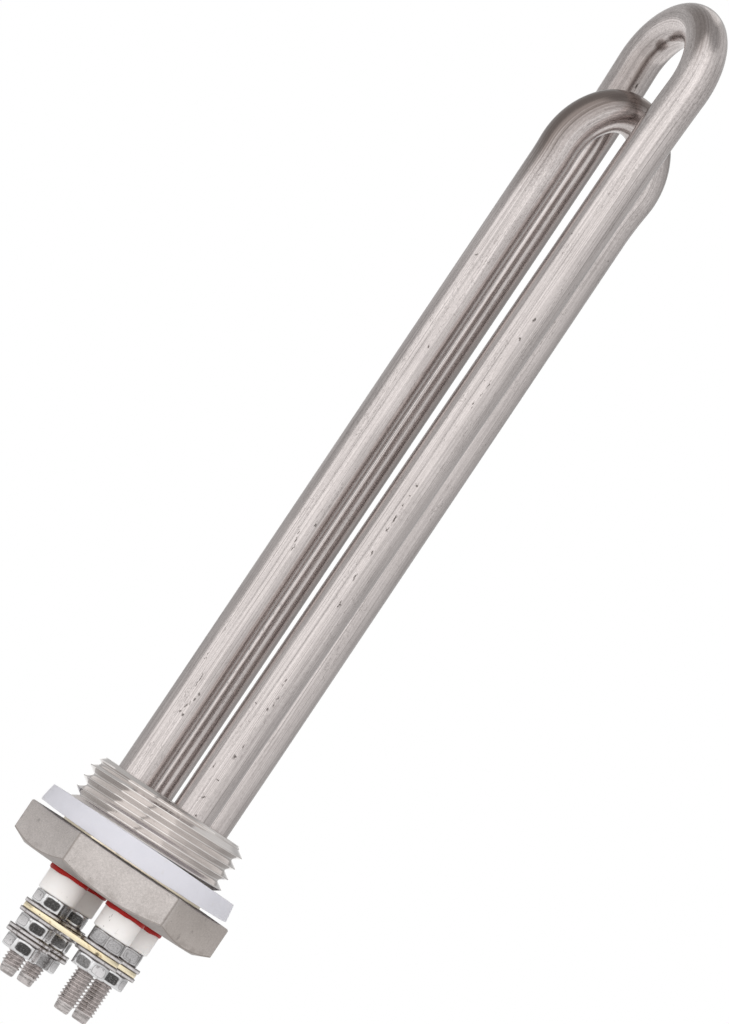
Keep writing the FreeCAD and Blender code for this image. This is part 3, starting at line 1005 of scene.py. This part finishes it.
def washer_finish():
    """Plated stampings: smooth faces, edges with the lines of the die, and painted shade along the rim's top
    and bottom.
    """
    f = Finish("washer_plating")
    grain = f.noise(0.12, 1, 2)
    die = f.noise((0.16, 0.16, 2), 2, 2)
    cloud = f.noise(1.5, 3, 3)
    color = f.mix(f.total((grain, 0.5), (die, 0.9), (cloud, 1)), (0.42, 0.395, 0.395), (0.86, 0.83, 0.83))
    dirt = f.noise(0.8, 4, 3).rise(0.56, 0.7) * 0.7
    off_middle = abs(f.part(f.stored("local"), 2))
    # Painted shade: the top and bottom of the rim are darkened, where the stacked pieces meet
    edge = off_middle.rise(0.16, 0.24, 0.8) * f.off_axis().rise(4, 4.3)
    color = f.mix(f.most(dirt, edge), color, (0.12, 0.1, 0.09))
    rough = f.total((die, 0.6), (grain, 0.5)).spread(0.2, 0.8, 0.16, 0.34)
    return f.done(color, rough, 1, f.total((die, 0.8), (grain, 0.4)), 0.02)


def brass_finish():
    """Pale brass strip with brown tarnish and a few dark nicks."""
    f = Finish("strip_brass")
    grain = f.noise(0.12, 1, 2)
    drawn = f.noise((2.5, 2.5, 0.1), 2, 2)
    cloud = f.noise(3.5, 3, 3)
    color = f.mix(f.total((grain, 0.3), (drawn, 0.6), (cloud, 0.9)), (0.84, 0.67, 0.38), (1, 0.94, 0.76))
    stain_and_painted_shade = f.noise(1.4, 4, 3).rise(0.57, 0.72) * 0.6
    color = f.mix(stain_and_painted_shade, color, (0.36, 0.21, 0.07))
    nick = f.most(f.dots(1.5, 0.16, 0.3, 5), f.noise(0.6, 6, 3).rise(0.66, 0.76) * 0.7)
    front = f.part(f.place, 1).fade(-11, -10)
    for across, height, half_width in strip_nicks:
        reach = f.reach((across, 0, strip_low / mm + height), (half_width, math.inf, half_width))
        nick = f.most(nick, (reach + grain).fade(0.8, 1.4) * front)
    color = f.mix(nick * 0.8, color, (0.07, 0.045, 0.02))
    rough = f.total((drawn, 0.6), (cloud, 0.5)).spread(0.2, 0.8, 0.2, 0.34)
    return f.done(color, rough, 1, f.total((drawn, 0.6), (grain, 0.3)) - nick, 0.02)


def ceramic_finish():
    """Unglazed warm white, fine-grained, with faint grey rub marks."""
    f = Finish("bushing_ceramic")
    grain = f.noise(0.1, 1, 2, 0.6)
    cloud = f.noise(2.8, 2, 3)
    color = f.mix(f.total((cloud, 0.9), (grain, 0.25)), (0.83, 0.795, 0.77), (0.92, 0.895, 0.88))
    rub = f.out(f.cells((0.9, 0.9, 1.5), 3, "DISTANCE_TO_EDGE"), "Distance")
    rub = rub.fade(0, 0.05) * f.noise(2.2, 4, 3).rise(0.6, 0.72)
    dark = f.most(rub * 0.4, f.dots(1.4, 0.08, 0.3, 5) * 0.5)
    front = f.part(f.place, 1).fade(-7, -6)
    for across, height, half_width, half_length in bushing_marks:
        reach = f.reach((across, 0, height), (half_width, math.inf, half_length))
        dark = f.most((reach + grain).fade(0.8, 1.5) * front * 0.7, dark)
    color = f.mix(dark, color, (0.3, 0.27, 0.25))
    rough = cloud.spread(0.3, 0.7, 0.42, 0.55)
    return f.done(color, rough, 0, grain, 0.012, Subsurface_Weight=0.12,
                  Subsurface_Radius=(0.7 * mm, 0.6 * mm, 0.5 * mm), Subsurface_Scale=1)


def silicone_finish():
    """Matt red rubber with a lighter bloom."""
    f = Finish("seal_silicone")
    grain = f.noise(0.14, 1, 2)
    cloud = f.noise((1.6, 1.6, 0.5), 2, 3)
    color = f.mix(f.total((cloud, 1.3), (grain, 0.4)), (0.24, 0.006, 0.005), (0.5, 0.018, 0.012))
    rough = cloud.spread(0.3, 0.7, 0.38, 0.58)
    relief = f.total((cloud, 0.8), (grain, 0.6))
    return f.done(color, rough, 0, relief, 0.03, Specular_IOR_Level=0.25)


def powder_finish():
    """Pressed magnesia powder."""
    f = Finish("magnesia_powder")
    grain = f.noise(0.09, 1, 3, 0.7)
    cloud = f.noise(1.8, 2, 3)
    color = f.mix(f.total((grain, 0.9), (cloud, 0.8)), (0.72, 0.7, 0.66), (0.9, 0.89, 0.86))
    return f.done(color, grain.spread(0.2, 0.8, 0.75, 0.9), 0, grain, 0.04)


def coil_finish():
    """Close turns of dull resistance wire, as ribs across the winding."""
    f = Finish("coil_alloy")
    wire = 0.4
    rib = f.math("PINGPONG", f.part(f.place, 2), wire / 2).rise(0, wire / 2)
    grain = f.noise(0.1, 1, 2)
    color = f.mix(f.total((rib, 0.8), (grain, 0.4)), (0.2, 0.185, 0.17), (0.46, 0.43, 0.4))
    return f.done(color, grain.spread(0.2, 0.8, 0.35, 0.5), 1, rib, 0.15)


# Camera

# The photo's height in pixels and its scale near the plug in pixels per millimetre
photo_height = 1024
photo_scale = 5.41
view_centre = Vector((-0.62 * mm, 0, 78.1 * mm))
camera_distance = 2.8
camera_height = 35 * mm
camera_roll = math.radians(34)


def aim(place, target):
    """A matrix for something at a place that looks at a target."""
    turn = (target - place).normalized().to_track_quat("-Z", "Y")
    return Matrix.Translation(place) @ turn.to_matrix().to_4x4()


def camera():
    """A far camera, framed so that the object is as large as in the photo."""
    data = bpy.data.cameras.new("camera")
    obj = add_object("camera", data)
    place = Vector((view_centre.x, -camera_distance, camera_height))
    obj.matrix_world = aim(place, view_centre) @ Matrix.Rotation(camera_roll, 4, "Z")
    data.sensor_fit = "VERTICAL"
    data.sensor_height = 24
    data.lens = data.sensor_height * (view_centre - place).length / (photo_height / photo_scale * mm)
    data.clip_end = 20
    bpy.context.scene.camera = obj


# Studio

floor_height = -120 * mm
floor_size = 3.2
lamp_size = 0.9
lamp_target = Vector((0, 0, 80 * mm))
white = (1, 1, 1)

# Soft boxes round the object, as azimuths in degrees from the camera's side, positive to the right, and how
# bright they and the walls are. The right wall fades from one level to another.
room_boxes = ((-73, -25.5), (-20.5, 21))
rear_box = (166, 182)
high_boxes_left = ((163, 172.4), (175, 182))
high_box_right = (169.8, 182)
box_level = 1.25
box_edge = 1
room_left = 0.57
room_right = (25, 130, 0.95, 0.54)
room_high_right = 0.75
room_above = 0.47
room_below = 0.6


def studio_world():
    """White to the camera. To all other rays it is a room with soft boxes and dark gaps between them."""
    world = bpy.data.worlds.new("studio")
    world.use_nodes = True
    bpy.context.scene.world = world
    n = Nodes(world.node_tree)
    direction = n.vector("NORMALIZE", n.out(n.add("TexCoord"), "Generated"))
    azimuth = n.math("ARCTAN2", n.part(direction, 0), n.part(direction, 1) * -1) * (180 / math.pi)
    leftward = azimuth * -1
    height = n.part(direction, 2)
    is_low = abs(height).fade(0.1, 0.3)
    is_high = height.rise(0.4, 0.55)

    def laid_over(light, inside, level):
        return inside * (level - light) + light

    def between(value, low, high):
        return value.rise(low - box_edge, low + box_edge) * value.fade(high - box_edge, high + box_edge)

    light = azimuth.spread(*room_right)
    light = laid_over(light, is_high * azimuth.rise(90, 110), room_high_right)
    light = laid_over(light, azimuth.fade(-box_edge, box_edge), room_left)
    for box in room_boxes:
        light = laid_over(light, between(azimuth, *box), box_level)
    for side in (azimuth, leftward):
        light = laid_over(light, between(side, *rear_box) * is_low, box_level)
    light = laid_over(light, between(azimuth, *high_box_right) * is_high, box_level)
    for box in high_boxes_left:
        light = laid_over(light, between(leftward, *box) * is_high, box_level)
    light = laid_over(light, height.rise(0.84, 0.95), room_above)
    light = laid_over(light, height.fade(-0.7, -0.5), room_below)
    room = n.tree.nodes["Background"]
    backdrop = n.add("Background")
    n.give(light, room, "Strength")
    n.give(white, room, "Color")
    n.give(white, backdrop, "Color")
    n.blend(n.rays("Camera", "Transmission"), room, backdrop, "World Output")


def floor():
    """Pale floor that keeps a soft shadow. Seen directly or in metal, it glows nearly white."""
    half = floor_size / 2
    corners = [(x * half, y * half, floor_height) for x, y in ((-1, -1), (1, -1), (1, 1), (-1, 1))]
    obj = mesh_object("floor", corners, [(0, 1, 2, 3)])
    f = Finish("pale_floor")
    f.give((0.86, 0.86, 0.86), f.shader, "Base Color")
    f.give(0.9, f.shader, "Roughness")
    glow = f.add("Emission")
    f.give(white, glow, "Color")
    share = f.length(f.place, (1, 1, 0)).spread(250, 700, 0.6, 1)
    f.blend(f.rays("Camera", "Glossy", "Transmission") * share, f.shader, glow, "Material Output")
    obj.data.materials.append(f.material)


def soft_lamp(name, place, power):
    data = bpy.data.lights.new(name, "AREA")
    data.shape = "SQUARE"
    data.size = lamp_size
    data.energy = power
    obj = add_object(name, data)
    obj.matrix_world = aim(Vector(place), lamp_target)
    obj.visible_glossy = False


# Assembly

def dress(obj, material):
    obj.data.materials.clear()
    obj.data.materials.append(material)


def place_piece(obj, node, slot, material=None):
    dress(obj, material or looks[slot])
    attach(obj, "root")
    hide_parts(node)


looks = {
    "plug_steel": plug_finish(), "gasket_ptfe": gasket_finish(), "stud_steel": stud_finish(),
    "seal_silicone": silicone_finish(), "bushing_ceramic": ceramic_finish(), "nut_plating": nut_finish(),
    "washer_plating": washer_finish(), "strip_brass": brass_finish(),
}
place_piece(plug(), "plug_body", "plug_steel")
place_piece(gasket(), "plug_gasket", "gasket_ptfe")
powder = powder_finish()
coil = coil_finish()
for element in element_legs:
    place_piece(sheath(element), element + "_sheath", "tube_steel", tube_finish(element))
    dress(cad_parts[element + "_magnesia"], powder)
    dress(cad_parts[element + "_coil"], coil)
for k, leg in enumerate(legs):
    place_piece(stud(leg, 20 + k), "terminal_stud_" + leg, "stud_steel")
    place_piece(seal(leg, 30 + 2 * k), "terminal_seal_" + leg, "seal_silicone")
    place_piece(bushing(leg, 40 + k), "terminal_bushing_" + leg, "bushing_ceramic")
    for kind, look in zip(nut_kinds, nuts[leg]):
        place_piece(nut(kind + leg, leg, *look), kind + leg, "nut_plating")
    for j, kind in enumerate(washer_kinds):
        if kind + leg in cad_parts:
            place_piece(washer(kind + leg, leg, 50 + 4 * k + j), kind + leg, "washer_plating")
place_piece(strip("front", ("short_feed", "long_link")), "jumper_strip_front", "strip_brass")
place_piece(strip("back", ("long_feed", "short_link")), "jumper_strip_back", "strip_brass")

studio_world()
floor()
soft_lamp("key_lamp", (-0.8, -1.6, 0.2), 7.6)
soft_lamp("fill_lamp", (1.3, -1.2, 0.1), 6)
soft_lamp("back_lamp", (0.9, 1.3, 1), 4)
camera()
bpy.context.scene.view_settings.view_transform = "Standard"
